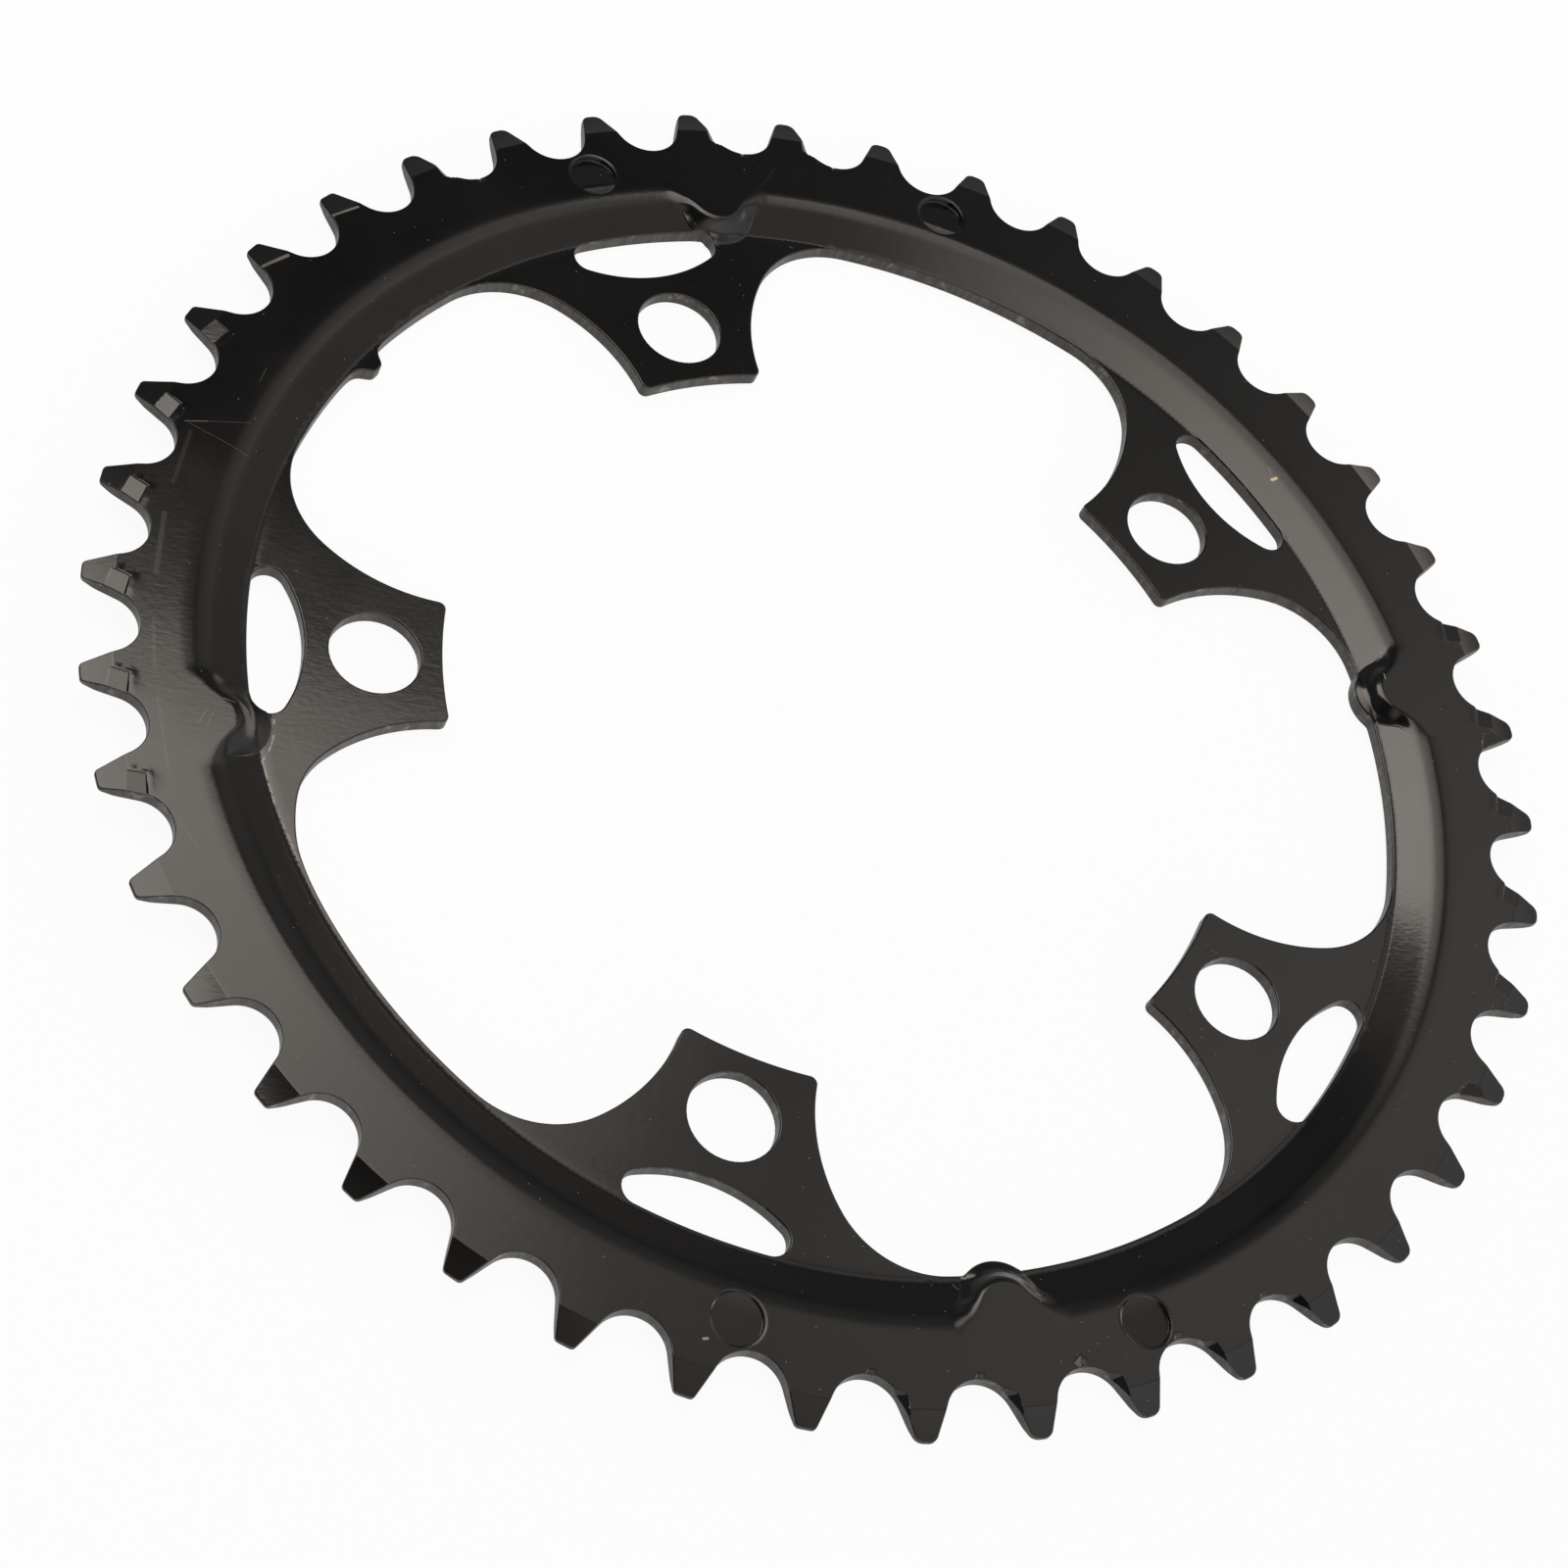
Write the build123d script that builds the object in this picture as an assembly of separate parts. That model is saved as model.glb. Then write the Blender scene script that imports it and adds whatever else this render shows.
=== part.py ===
from build123d import *
import math
import os

# Bicycle chainring, stamped and dished from one steel sheet.
# Millimetres. The axis is Z, the backs of the five bolt tabs lie on z = 0,
# and the locating nub between two tabs points along +Y.

# Chain and teeth
PITCH = 12.7
TEETH = 42
PITCH_R = PITCH / (2 * math.sin(math.pi / TEETH))
SEAT_R = 4.2
FLANK_ANGLE = 24.0
TIP_RISE = 2.33
TIP_R = PITCH_R + TIP_RISE
TIP_CORNER = 0.3
TOOTH_AT = 54.0

# Sheet and dish: the rim's level, the joggle down from it and the tabs' level
SHEET = 1.8
DISH = 1.7
FRONT = SHEET + DISH
RIM_BAND = 10.15
JOGGLE_RUN = 5.3
BEND_R = PITCH_R - RIM_BAND
FOOT_R = BEND_R - JOGGLE_RUN
OUTER_BEND = 3.0

# Bevels at the tooth tips, turned on both faces
BEVEL_WIDTH = 3.4
BEVEL_DROP = 0.9
BEVEL_START = TIP_R - BEVEL_WIDTH
BACK_BEVEL_WIDTH = 1.5
BACK_BEVEL_DROP = 0.4
BACK_BEVEL_START = TIP_R - BACK_BEVEL_WIDTH

# Window and bolt tabs
BOLTS = 5
BOLT_CIRCLE = 110.0
BOLT_HOLE = 10.3
FIRST_BOLT = -90.0
RIM_LAND = 0.55
RIM_INNER_R = FOOT_R - RIM_LAND
TAB_REACH = 7.6
TAB_END_R = BOLT_CIRCLE / 2 - TAB_REACH
TAB_CORNER = 0.9
TAB_HALF = 7.8
SIDE_OVERLAP = 0.45
SIDE_ARC_R = RIM_INNER_R - TAB_END_R + SIDE_OVERLAP
SIDE_ARC_X = TAB_HALF + SIDE_ARC_R
NECK_DROP = 1.7
SIDE_ARC_Y = TAB_END_R - NECK_DROP
BLEND_SHARE = 0.53
SIDE_BLEND = BLEND_SHARE * SIDE_ARC_R
EDGE_ROLL = 0.22

# Lens slot in each tab
SLOT_LAND = 0.3
SLOT_WIDTH = 6.3
SLOT_OUTER_R = FOOT_R - SLOT_LAND
SLOT_INNER_R = SLOT_OUTER_R - SLOT_WIDTH
SLOT_ARC_R = 17.5
SLOT_CORNER = 2.0

# Tongues that carry the rim's level inward over the dish
TONGUES = 4
FIRST_TONGUE = 45.0
TONGUE_FOOT_R = 4.6
TONGUE_REACH = 1.35
TONGUE_FOOT_AT = RIM_INNER_R - TONGUE_REACH + TONGUE_FOOT_R
TONGUE_TOP_R = 2.6
TONGUE_SET_BACK = 0.8
TONGUE_TOP_AT = TONGUE_FOOT_AT + TONGUE_SET_BACK
TONGUE_PRESS = 0.65
TONGUE_TAIL = 3.2
TONGUE_ROOT = BEND_R + TONGUE_TAIL

# Locating nub
NUB_AT = 90.0
NUB_REACH = 2.05
NUB_END_R = RIM_INNER_R - NUB_REACH
NUB_TIP = 1.0
NUB_FLARE = 1.3

# Half-sheared buttons on the back of the rim, in the band between the bend and the roots
BUTTON_R = 2.9
BUTTON_AT = (BEND_R + PITCH_R - SEAT_R) / 2
BUTTON_DEPTH = 0.7
BUTTON_PAIRS = (39.35, 219.35)
BUTTON_SPREAD = 2 * 360 / TEETH
BUTTON_EASE = 0.05

# Coined flats on the flanks of some teeth, counted clockwise from the tooth at TOOTH_AT
WIDE_COINED = (11, 12, 13, 14, 15, 16, 32, 33, 34, 35, 36, 37)
SLIM_COINED = (19, 20, 21, 22, 23, 40, 41, 0, 1, 2)
WIDE_COIN_FROM = (-0.25, PITCH_R - 2.67)
WIDE_COIN_LEAN = 27.0
WIDE_COIN_SLOPE = 14.0
SLIM_COIN_FROM = (1.7, PITCH_R - 2.37)
SLIM_COIN_LEAN = -12.0
SLIM_COIN_SLOPE = 38.0
COIN_END_LEAN = 9.0
COIN_LIP = 0.12

# How far cutters and overlapping shapes run past the sheet
PAST = 4.0


def around(angle, shape):
    """Turn a shape drawn on the +Y axis to an angle measured from +X."""
    return Rot(0, 0, angle - 90) * shape


def tooth_gap():
    """The space between two teeth: a roller seat with straight flanks."""
    across = math.cos(math.radians(FLANK_ANGLE))
    along = math.sin(math.radians(FLANK_ANGLE))
    foot_x = SEAT_R * across
    foot_y = PITCH_R - SEAT_R * along
    head_y = TIP_R + PAST
    head_x = foot_x + (head_y - foot_y) * along / across
    seat = ThreePointArc((-foot_x, foot_y), (0, PITCH_R - SEAT_R), (foot_x, foot_y))
    sides = Polyline((foot_x, foot_y), (head_x, head_y), (-head_x, head_y), (-foot_x, foot_y))
    return make_face(seat + sides)


def tab():
    """One bolt tab on +Y, running out past the rim's inner circle."""
    end_side = Circle(TAB_END_R)
    head = Rectangle(2 * SIDE_ARC_X, RIM_INNER_R, align=(Align.CENTER, Align.MIN))
    left = Pos(-SIDE_ARC_X, SIDE_ARC_Y) * Circle(SIDE_ARC_R)
    right = Pos(SIDE_ARC_X, SIDE_ARC_Y) * Circle(SIDE_ARC_R)
    below = Rectangle(4 * SIDE_ARC_X, SIDE_ARC_Y, align=(Align.CENTER, Align.MIN))
    return head - end_side - left - right - (below - Rectangle(2 * TAB_HALF, 2 * SIDE_ARC_Y))


def slot():
    """The lens slot of a tab on +Y."""
    outer = Circle(SLOT_OUTER_R)
    lens = outer & (Pos(0, SLOT_INNER_R + SLOT_ARC_R) * Circle(SLOT_ARC_R))
    return fillet(lens.vertices(), SLOT_CORNER)


def nub():
    """The small locating nub on +Y, with flared sides and a round end."""
    wide = NUB_TIP + NUB_FLARE
    bar = Pos(0, NUB_END_R) * Rectangle(2 * NUB_TIP, PAST, align=(Align.CENTER, Align.MIN))
    bar = fillet(bar.vertices().group_by(Axis.Y)[0], 0.9 * NUB_TIP)
    foot = Pos(0, RIM_INNER_R) * Rectangle(2 * wide, 2 * NUB_FLARE)
    for side in (-1, 1):
        foot -= Pos(side * wide, RIM_INNER_R - NUB_FLARE) * Circle(NUB_FLARE)
    return bar + foot


def window():
    """The opening inside the rim, with the tabs left standing in it."""
    opening = Circle(RIM_INNER_R)
    for n in range(BOLTS):
        opening -= around(FIRST_BOLT + n * 360 / BOLTS, tab())
    rims = [v for v in opening.vertices() if abs(v.center().length - RIM_INNER_R) < 0.01]
    opening = fillet(rims, SIDE_BLEND)
    ends = [v for v in opening.vertices() if abs(v.center().length - TAB_END_R) < 0.01]
    return fillet(ends, TAB_CORNER)


def reaches():
    """What stands out into the window: the feet of the tongues and the nub."""
    foot = Pos(0, TONGUE_FOOT_AT) * Circle(TONGUE_FOOT_R)
    feet = [around(FIRST_TONGUE + n * 360 / TONGUES, foot) for n in range(TONGUES)]
    return Sketch() + feet + around(NUB_AT, nub())


def outline():
    """The flat outline of the stamping."""
    plan = Circle(TIP_R)
    step = 360 / TEETH
    plan -= [around(TOOTH_AT + (n + 0.5) * step, tooth_gap()) for n in range(TEETH)]
    tips = [v for v in plan.vertices() if abs(v.center().length - TIP_R) < 0.01]
    plan = chamfer(tips, TIP_CORNER)
    plan -= window()
    for n in range(BOLTS):
        angle = FIRST_BOLT + n * 360 / BOLTS
        plan -= around(angle, Pos(0, BOLT_CIRCLE / 2) * Circle(BOLT_HOLE / 2))
    return plan


def sheet():
    """The dished sheet as a turned solid, with rounded bends and the bevels that thin the tooth tips."""
    slope = math.atan2(DISH, BEND_R - FOOT_R)
    shift = SHEET * math.tan(slope / 2)
    rise = BEVEL_DROP / (TIP_R - BEVEL_START)
    back_rise = BACK_BEVEL_DROP / (TIP_R - BACK_BEVEL_START)
    rim = TIP_R + 1
    hub = TAB_END_R - PAST
    front = [
        (hub, SHEET),
        (FOOT_R, SHEET),
        (BEND_R, FRONT),
        (BEVEL_START, FRONT),
        (rim, FRONT - rise * (rim - BEVEL_START)),
    ]
    back = [
        (rim, DISH + back_rise * (rim - BACK_BEVEL_START)),
        (BACK_BEVEL_START, DISH),
        (BEND_R + shift, DISH),
        (FOOT_R + shift, 0),
        (hub, 0),
    ]
    section = make_face(Polyline(*front, *back, close=True))
    bends = [v for v in section.vertices() if abs(v.X - BEND_R) < 0.01]
    bends += [v for v in section.vertices() if abs(v.X - FOOT_R - shift) < 0.01]
    return revolve(Plane.XZ * fillet(bends, OUTER_BEND), Axis.Z, 360)


def tongue_form(low, low_r, low_at, high, high_r, high_at):
    """A half-round tongue on +Y that narrows from its foot to its top."""
    def level(radius, at, height):
        tail = Pos(0, at) * Rectangle(2 * radius, TONGUE_ROOT - at, align=(Align.CENTER, Align.MIN))
        return Pos(0, 0, height) * (Pos(0, at) * Circle(radius) + tail)
    return loft([level(low_r, low_at, low), level(high_r, high_at, high)], ruled=True)


def coin(start, lean, side, slope):
    """A cutter for a coined flat on one side of a tooth on +Y.
    It starts at a corner, its long edge leans and its floor slopes down to the flank."""
    x, y = start
    run = TIP_R + PAST - y
    top = (x + run * math.tan(math.radians(lean)), y + run)
    far = (side * PAST, y - side * (PAST - side * x) * math.tan(math.radians(COIN_END_LEAN)))
    area = make_face(Polyline((x, y), top, (side * PAST, y + run), far, close=True))
    prism = Pos(0, 0, DISH) * extrude(area, SHEET + 1)
    floor = Pos(x, y, FRONT - COIN_LIP) * Rot(0, 0, -lean) * Rot(0, side * slope, 0)
    above = floor * Box(4 * PAST, 6 * PAST, 2 * PAST, align=(Align.CENTER, Align.CENTER, Align.MIN))
    return prism & above


def rolled(body):
    """Break the punched edges of the window and the bolt holes on the front of the tabs."""
    level = body.edges().filter_by_position(Axis.Z, SHEET - 0.01, SHEET + 0.01)
    punched = [e for e in level if e.geom_type == GeomType.CIRCLE and e.radius < RIM_INNER_R + 0.01]
    return chamfer(punched, EDGE_ROLL)


def chainring():
    dished = sheet()
    body = rolled(dished & extrude(outline(), FRONT + 1))
    body += dished & extrude(reaches(), FRONT + 1)

    for n in range(TONGUES):
        angle = FIRST_TONGUE + n * 360 / TONGUES
        front = tongue_form(SHEET, TONGUE_FOOT_R, TONGUE_FOOT_AT, FRONT, TONGUE_TOP_R, TONGUE_TOP_AT)
        hollow = tongue_form(0, TONGUE_FOOT_R - TONGUE_PRESS, TONGUE_FOOT_AT,
                             DISH, TONGUE_TOP_R - TONGUE_PRESS, TONGUE_TOP_AT)
        body += around(angle, front)
        body -= around(angle, hollow)
    body -= [around(FIRST_BOLT + n * 360 / BOLTS, extrude(slot(), FRONT + 1)) for n in range(BOLTS)]

    for middle in BUTTON_PAIRS:
        for side in (-1, 1):
            spot = around(middle + side * BUTTON_SPREAD, Pos(0, BUTTON_AT))
            dent = Pos(0, 0, FRONT - BUTTON_DEPTH) * Cylinder(
                BUTTON_R, BUTTON_DEPTH + 1, align=(Align.CENTER, Align.CENTER, Align.MIN))
            button = Pos(0, 0, DISH - BUTTON_DEPTH) * Cylinder(
                BUTTON_R - BUTTON_EASE, SHEET / 2 + BUTTON_DEPTH, align=(Align.CENTER, Align.CENTER, Align.MIN))
            body -= spot * dent
            body += spot * button

    step = 360 / TEETH
    wide = coin(WIDE_COIN_FROM, WIDE_COIN_LEAN, -1, WIDE_COIN_SLOPE)
    slim = coin(SLIM_COIN_FROM, SLIM_COIN_LEAN, 1, SLIM_COIN_SLOPE)
    body -= [around(TOOTH_AT - n * step, wide) for n in WIDE_COINED]
    body -= [around(TOOTH_AT - n * step, slim) for n in SLIM_COINED]
    return body


os.makedirs("parts", exist_ok=True)
part = chainring()
part.label = "chainring"
print("solids", len(part.solids()), "volume", round(part.volume, 1), "valid", part.is_valid)
export_step(part, "parts/chainring.step")
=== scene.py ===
import bpy
import numpy as np
from mathutils.geometry import delaunay_2d_cdt
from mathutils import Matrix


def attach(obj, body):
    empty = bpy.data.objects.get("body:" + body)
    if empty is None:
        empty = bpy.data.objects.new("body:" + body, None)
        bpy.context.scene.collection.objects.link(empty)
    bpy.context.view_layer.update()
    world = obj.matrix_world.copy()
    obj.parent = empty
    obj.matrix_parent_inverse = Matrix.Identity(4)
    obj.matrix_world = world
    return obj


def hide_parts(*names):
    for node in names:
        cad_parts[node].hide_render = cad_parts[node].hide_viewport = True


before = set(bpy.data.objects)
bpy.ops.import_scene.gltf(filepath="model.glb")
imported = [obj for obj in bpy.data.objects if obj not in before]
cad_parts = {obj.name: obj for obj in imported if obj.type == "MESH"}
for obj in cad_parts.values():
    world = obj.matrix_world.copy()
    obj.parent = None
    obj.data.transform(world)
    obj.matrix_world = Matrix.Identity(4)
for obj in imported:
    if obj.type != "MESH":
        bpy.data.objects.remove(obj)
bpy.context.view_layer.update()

# Bicycle chainring: one stamped and dished sheet, seen from its front.
# Lengths are in millimetres and angles in degrees, in the part's own frame; slopes are rise over run.
MM = 0.001

# Chain and teeth
PITCH = 12.7
TEETH = 42
STEP = 360 / TEETH
PITCH_R = PITCH / (2 * np.sin(np.pi / TEETH))
SEAT_R = 4.08
FLANK = np.radians(24)
TIP_R = PITCH_R + 2.43
TIP_ROUND = 1.1
TOOTH_AT = 54.0
CRISP_TIPS = range(24, 40)
CRISP_ROUND = 0.6

# Sheet and joggle
SHEET = 1.8
DISH = 1.7
FRONT = SHEET + DISH
BEND_R = PITCH_R - 10.15
FOOT_R = BEND_R - 5.36
JOGGLE_AT = (-0.3, -0.15)
# the front's bends, where each lies and how softly it turns, and the slopes between them
FOOT_SOFT = 0.12
FIRST_BEND = BEND_R - 1.4
FIRST_SOFT = 0.5
SECOND_BEND = BEND_R + 0.2
SECOND_SOFT = 0.45
LEVEL_FROM = BEND_R + 1.5
LEVEL_SOFT = 0.5
HALF_SLOPE = 0.16
LAST_SLOPE = 0.04
BENT_RISE = HALF_SLOPE * (SECOND_BEND - FIRST_BEND) + LAST_SLOPE * (LEVEL_FROM - SECOND_BEND)
FULL_SLOPE = (DISH - BENT_RISE) / (FIRST_BEND - FOOT_R)
# the groove along the foot: its depth, how far inside the foot it lies, and half its width
FOOT_GROOVE = (0.055, 0.4, 0.3)
# the back's one slope, moved outward so that the sheet keeps its thickness
BACK_ANGLE = np.arctan2(DISH, BEND_R - FOOT_R)
BACK_SHIFT = SHEET * np.tan(BACK_ANGLE / 2)
BACK_FOOT_SOFT = 0.5
BACK_BEND_SOFT = 0.25
# the bend the whole ring has taken: its height at a radius, and the angle of one of its high ends
SADDLE = 0.8
SADDLE_R = 85.0
SADDLE_AT = 139.8

# Bevels turned over the tips
BEVEL_START = PITCH_R - 0.95
BEVEL_SOFT = 0.08
BEVEL_SLOPE = 0.27
BEVEL_CURVE = -0.0074
# the front's was turned off centre on a bent ring: how far inward each moves its start, and at what angle
BEVEL_OFF_CENTRE = (0.12, -44.0)
BEVEL_OVAL = (0.13, -40.0)
BACK_BEVEL_START = TIP_R - 1.6
BACK_BEVEL_SOFT = 0.2
BACK_BEVEL_SLOPE = 0.4 / 1.5

# Window, bolt tabs, holes and slots
BOLTS = 5
TAB_STEP = 360 / BOLTS
FIRST_TAB = -90.0
BOLT_AT = 55.0
BOLT_R = 5.15
RIM_R = FOOT_R - 0.6
TAB_END_R = BOLT_AT - 7.6
TAB_HALF = 7.8
TAB_CORNER = 0.9
SIDE_R = RIM_R - TAB_END_R + 0.45
SIDE_AT = np.array([TAB_HALF + SIDE_R, TAB_END_R - 1.7])
BLEND_R = 0.53 * SIDE_R
# one blend is fuller than the rest: its angle, half its width in degrees, and how much
FULL_BLEND = (145.0, 4.3, 0.64)
SLOT_OUTER_R = FOOT_R - 0.3
SLOT_WIDTH = 6.3
SLOT_ARC_R = 17.5
SLOT_ARC_AT = np.array([0.0, SLOT_OUTER_R - SLOT_WIDTH + SLOT_ARC_R])
SLOT_CORNER = 2.0

# Tongues: each one's angle, and how far its crest reaches inward
TONGUES = ((45.0, 2.65), (135.0, 1.75), (225.0, 2.65), (315.0, 2.65))
TONGUE_FOOT_R = 4.6
TONGUE_FOOT_AT = RIM_R - 1.35 + TONGUE_FOOT_R
TONGUE_AT = TONGUE_FOOT_AT + 0.8
CREST_FLARE = 5.0
# out past this there is only rim
TONGUE_ENDS = TONGUE_AT + 5.0
# how far outward a ray from a tongue's middle points where it starts to count as aside, and where it does
ASIDE = (-0.75, 0.1)
# the least width from crest to foot, what it gains aside, and the span over which it meets the foot's circle
TONGUE_WALL = 0.8
WALL_RUN_OUT = 1.7
FOOT_MEETING = 0.6
# the span over which the window's edge turns from the rim round a tongue's foot
FOOT_FILLET = 0.4
# over the share of that width: where the wall and the shelf start, how softly each bends, how steep each is
WALL_FROM, WALL_SOFT, WALL_STEEP = 0.06, 0.19, 1.294
SHELF_FROM, SHELF_SOFT, SHELF_STEEP = 0.56, 0.14, 0.45
SHELF_END_SOFT = 0.02
# the crisp step at the foot: its drop, and the shares where it starts and ends
FOOT_DROP, DROP_FROM, DROP_TO = 0.155, 0.99, 1.04
# the share where the even slope aside starts
SIDE_FROM = -0.25
# the hollow behind a tongue falls sooner than its front: its share is drawn out and moved on
HOLLOW_DRAW = 0.9
HOLLOW_LEAD = 0.34
# the fill in the corners between the bend and a crest: where the bend's side starts, amount, width and reach
SHOULDER_FROM = BEND_R + 0.6
SHOULDER_FILL, SHOULDER_WIDTH, SHOULDER_REACH = 0.6, 1.5, 1.6

# Nub and half-sheared buttons
NUB_AT = 90.0
NUB_REACH = 2.0
NUB_HALF = 1.5
BUTTON_AT = (BEND_R + PITCH_R - SEAT_R) / 2
BUTTON_R = 2.95
BUTTON_WALL = 0.13
# where a floor turns down towards the middle of the ring, and how softly
FOLD_AT, FOLD_SOFT = 1.5, 0.3
# the rim drawn in round a button: how deep and how wide
DRAWN_DEPTH, DRAWN_WIDTH = 0.04, 0.32
# each pair: its angle, depth at the middle, slopes of the floor outward and across, and slope of its fold
BUTTON_PAIRS = ((39.35, 0.55, 0.11, 0.0, 0.3), (219.35, 0.27, 0.06, 0.08, 0.0))
BUTTONS = [(angle + side * 2 * STEP, *floor) for angle, *floor in BUTTON_PAIRS for side in (-1, 1)]

# Coined flats: which teeth carry each kind, counted clockwise
WIDE_COINED = (11, 12, 13, 14, 15, 32, 33, 34, 35, 36, 37)
FAR_COINED = (12, 16)
SLIM_COINED = (19, 20, 21, 22, 23, 40, 1, 2)
# each kind: teeth, inner corner, lean of its long edge, fall of its floor, and its side, 1 being clockwise
COINS = ((WIDE_COINED, (-0.25, PITCH_R - 2.62), np.radians(17), 0.06, -1),
         (FAR_COINED, (1.1, PITCH_R - 2.3), np.radians(14), 0.3, 1),
         (SLIM_COINED, (1.95, PITCH_R - 2.3), np.radians(12), 0.78, 1))
END_LEAN = np.radians(9)
COIN_DEPTH = 0.12
COIN_WALL_STEEP = 2
COIN_CORNER = 0.04
COIN_BREAK = 0.02
# metal pushed up beside a wide flat: the swelling at its inner end, and the lip along its long edge
SWELL = 0.03
LIP = 0.02

# Punched edges: how far the sheet rolls over at the front and at the back
TOOTH_ROLL = 0.13
PUNCH_ROLL = 0.2
BACK_ROLL = 0.14
# rows of points down an edge: angles round each roll and shares down the wall, with how bare the cut is
FRONT_ROLL_ROWS = ((0, 0.0), (30, 0.0), (60, 0.8), (90, 0.8))
WALL_ROWS = ((0.33, 1.0), (0.7, 1.0))
BACK_ROLL_ROWS = ((90, 1.0), (45, 0.3), (0, 0.3))

# How finely lines are drawn: an arc's longest step and largest turn, how much finer, and points to a line
ARC_STEP = 0.75
ARC_TURN = 11
DENSE = 40
TOOTH_POINTS = 52
PLAIN_BAY_POINTS = 44
SHAPED_BAY_POINTS = 90
# how far the rays of a tongue's points sweep either way, and how long a line across them is
TONGUE_SWEEP = 122
TONGUE_LINE = 14
# a radian of turning counts as this length when a line is thinned
TURN_LENGTH = 1.1
# half the span over which a surface's slope is taken
SLOPE_SPAN = 0.015
# stands for a height, radius or distance that nothing reaches
OUT_OF_REACH = 99.0

# Marks on the front, in plan: start, end, half width and strength
SCRATCHES = (((-23.7, 77.5), (-21.9, 75.7), 0.06, 0.45), ((-21.9, 75.7), (-18.4, 72.1), 0.05, 0.16),
             ((-23.6, 77.1), (-22.2, 69.6), 0.05, 0.16), ((-13.1, 74.9), (-11.0, 75.5), 0.07, 0.12),
             ((-52.1, 53.1), (-54.2, 52.8), 0.08, 0.25), ((-52.2, 52.4), (-53.8, 51.9), 0.07, 0.25),
             ((-49.9, 52.7), (-49.4, 51.5), 0.06, 0.4), ((-48.9, 51.2), (-49.0, 49.8), 0.06, 0.5),
             ((58.0, 48.8), (61.8, 49.2), 0.12, 0.03), ((53.9, 41.4), (54.1, 40.9), 0.07, 0.3),
             ((51.5, -49.3), (52.1, -48.8), 0.1, 0.7), ((-76.3, -27.8), (-76.0, -28.1), 0.2, 0.8),
             ((69.5, -22.7), (68.9, -23.6), 0.06, 0.3), ((-52.9, -46.6), (-52.7, -45.9), 0.07, 0.4))
# a light line along the foot's raised fold: a painted highlight in pale steel
FOOT_FOLD_HIGHLIGHT = (((-47.2, 47.5), (-49.1, 46.2), 0.16, 0.8), ((-49.1, 46.2), (-51.0, 45.5), 0.16, 0.8),
               ((-51.0, 45.5), (-52.2, 45.4), 0.16, 0.9), ((-52.2, 45.4), (-55.6, 41.2), 0.16, 0.8),
               ((-55.6, 41.2), (-59.3, 35.4), 0.12, 0.5))
# bright lines at the bevel's start on two teeth: painted highlights in pale steel
BEVEL_START_HIGHLIGHT = (((0.7, 84.6), (4.2, 83.5), 0.3, 0.4), ((13.2, 83.4), (16.5, 82.1), 0.22, 0.45))
CHAIN_RUBS = (((-24.4, 76.2), (-31.3, 73.4), 0.35, 0.04), ((-35.3, 71.6), (-42.2, 67.5), 0.4, 0.06),
              ((-47.1, 64.1), (-52.0, 60.3), 0.3, 0.07), ((-54.8, 57.7), (-60.9, 51.7), 0.25, 0.09),
              ((-65.0, 47.3), (-66.3, 43.7), 0.2, 0.06))
BARE_CHIP = (((68.4, -24.0), (68.8, -24.3), 0.3, 1.0),)
# a mark is at full strength to this share of its half width
MARK_CORE = 0.35

# Colours of the finishes, and how rough each is
COAT_DARK = (0.0012, 0.0012, 0.0013, 1)
COAT_PALE = (0.0036, 0.0033, 0.0030, 1)
COAT_ROUGH = (0.115, 0.165)
CUT_DARK = (0.018, 0.0155, 0.013, 1)
CUT_PALE = (0.058, 0.050, 0.041, 1)
CUT_ROUGH = 0.42
DUST_GREY = (0.3, 0.29, 0.28, 1)
DUST_COVER = 0.55
DUST_ROUGH = 0.7
# pale steel of scratches and wear, also used for painted highlights along the foot, the bevel's start and the
# edges
BARE_STEEL_AND_HIGHLIGHT = (0.34, 0.32, 0.30, 1)
STEEL_ROUGH = 0.38
CHIP_YELLOW = (0.62, 0.47, 0.26, 1)
CHIP_ROUGH = 0.3
# share of pale steel along the rolled edges and cut walls: partly worn edges, partly painted highlight lines
EDGE_WEAR_AND_HIGHLIGHT = 0.35

# Patterns of the finishes: lumps a metre and layers of detail, and for relief its height in metres
SMUDGES = (55, 3.0)
BROKEN_FOOT_LINE = (1600, 2.0)
BROKEN_EDGE = (700, 3.0)
DUST_SPECKS = 560
WAVES, WAVES_HEIGHT = (75, 1.0), 26e-6
PEEL, PEEL_HEIGHT = (1300, 0.0), 2.5e-6
ROLLED_GRAIN, GRAIN_HEIGHT = (2700, 1.0), 3e-6
CUT_STREAKS, STREAKS_HEIGHT = (1500, 1.0), 25e-6
# which way the sheet was rolled, and by what share its grain is drawn out that way
ROLLED_ALONG = (0.53, -0.848, 0.0)
GRAIN_DRAWN = 0.75
# the streaks run down the cut walls: their pattern is drawn out in height
STREAKS_DRAWN = (1, 1, 0.12)

# Studio, in metres
FLOOR_GAP = 0.02 * MM
FLOOR_HALF = 6
FLOOR_GREY = (0.8, 0.8, 0.8, 1)
FLOOR_WHITE = 0.94
CAMERA_AT = (-0.243367, -0.017061, 0.313659)
CAMERA_TURN = (31.8296, -18.803, -58.1858)
CAMERA_LENS = 79.555
CAMERA_SENSOR = 36


def soft(x, h):
    """A ramp that starts at nought: zero below -h, x above h, and a parabola that joins them between."""
    return np.where(x > h, x, np.where(x < -h, 0.0, (x + h) ** 2 / (4 * h)))


def ease(low, high, x):
    """Rises from 0 at low to 1 at high on a cubic that is level at both ends."""
    t = np.clip((x - low) / (high - low), 0, 1)
    return t * t * (3 - 2 * t)


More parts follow.
